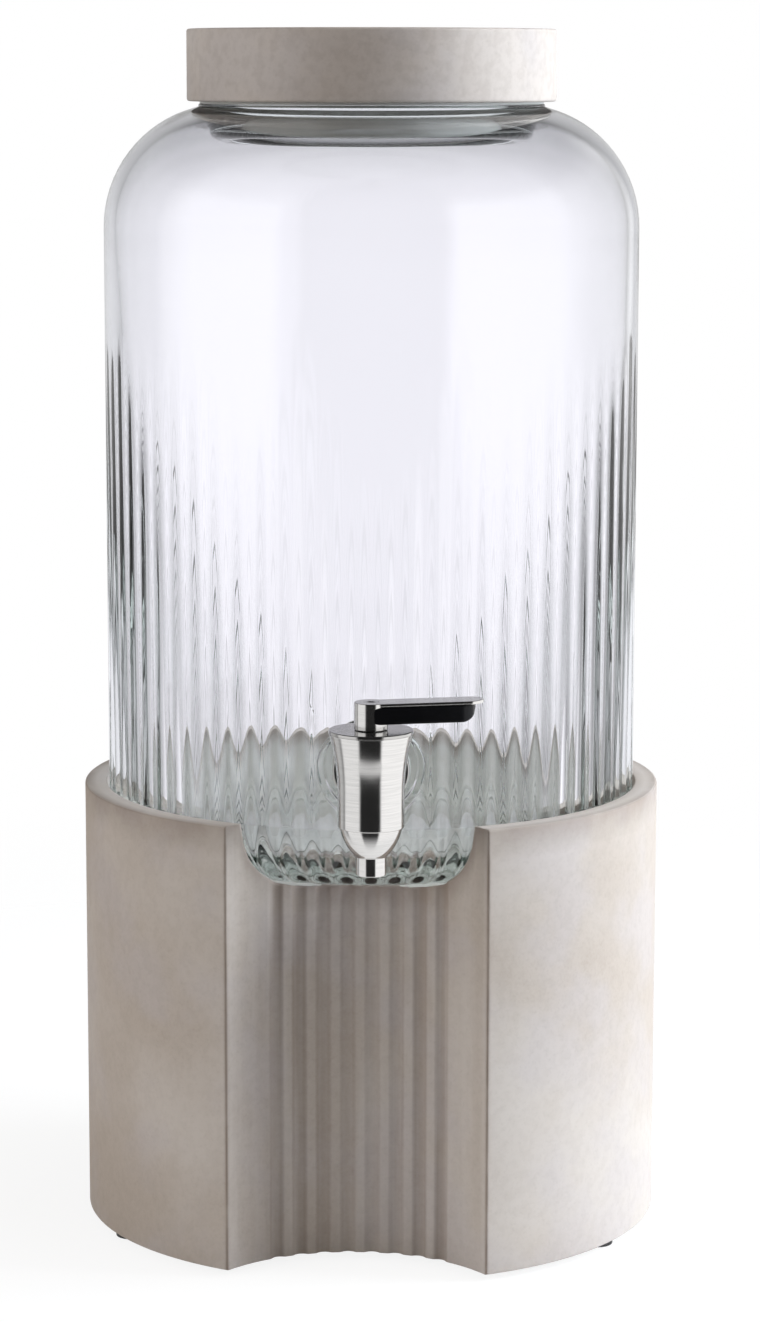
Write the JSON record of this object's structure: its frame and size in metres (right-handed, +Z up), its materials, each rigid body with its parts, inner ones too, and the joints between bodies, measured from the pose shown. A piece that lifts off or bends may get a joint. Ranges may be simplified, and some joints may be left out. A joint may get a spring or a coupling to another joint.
{
  "type": "glass drink dispenser",
  "caption": "Ribbed glass drink dispenser on a hollow-fronted concrete base, with a lift-off concrete lid and a quarter-turn steel tap.",
  "frame": {"origin": "on the axis of the base, on the surface that the feet stand on", "axes": "+Z up; the tap points towards -Y; +X to the right of a person facing the tap"},
  "size_m": [0.22, 0.253, 0.4535],
  "materials": {
    "base_concrete": "smooth cast concrete, matt",
    "lid_concrete": "smooth cast concrete, sealed",
    "clear_glass": "clear",
    "pale_silicone": "satin",
    "black_rubber": "matt",
    "polished_steel": "polished",
    "satin_steel": "turned",
    "black_plastic": "gloss",
    "white_plastic": "matt"
  },
  "bodies": {
    "base": {"base_block": "base_concrete", "base_feet": "black_rubber", "seat_ring": "pale_silicone"},
    "jar": {"jar_glass": "clear_glass", "outer_washer": "pale_silicone", "inner_washer": "pale_silicone", "backing_washer": "satin_steel", "lock_nut": "satin_steel", "inlet_shank": "polished_steel", "tap_body": "polished_steel", "tap_bonnet": "polished_steel", "tap_spout": "polished_steel", "plug_seat": "white_plastic", "spout_oring": "black_rubber", "stop_pin": "satin_steel"},
    "lever": {"valve_plug": "satin_steel", "plug_orings": "black_rubber", "spring_washer": "satin_steel", "lever_hub": "polished_steel", "lever_grip": "black_plastic", "lever_screw": "satin_steel"},
    "lid": {"lid_block": "lid_concrete", "lid_seal": "pale_silicone"}
  },
  "joints": [
    {"name": "jar_lift", "type": "slide", "parent": "base", "child": "jar", "axis": [0, 0, 1], "range_m": [0, 0.06]},
    {"name": "lever_turn", "type": "hinge", "parent": "jar", "child": "lever", "pos_m": [0, -0.128, 0.21], "axis": [0, 0, 1], "range_deg": [-90, 0]},
    {"name": "lid_lift", "type": "slide", "parent": "jar", "child": "lid", "axis": [0, 0, 1], "range_m": [0, 0.04]}
  ]
}
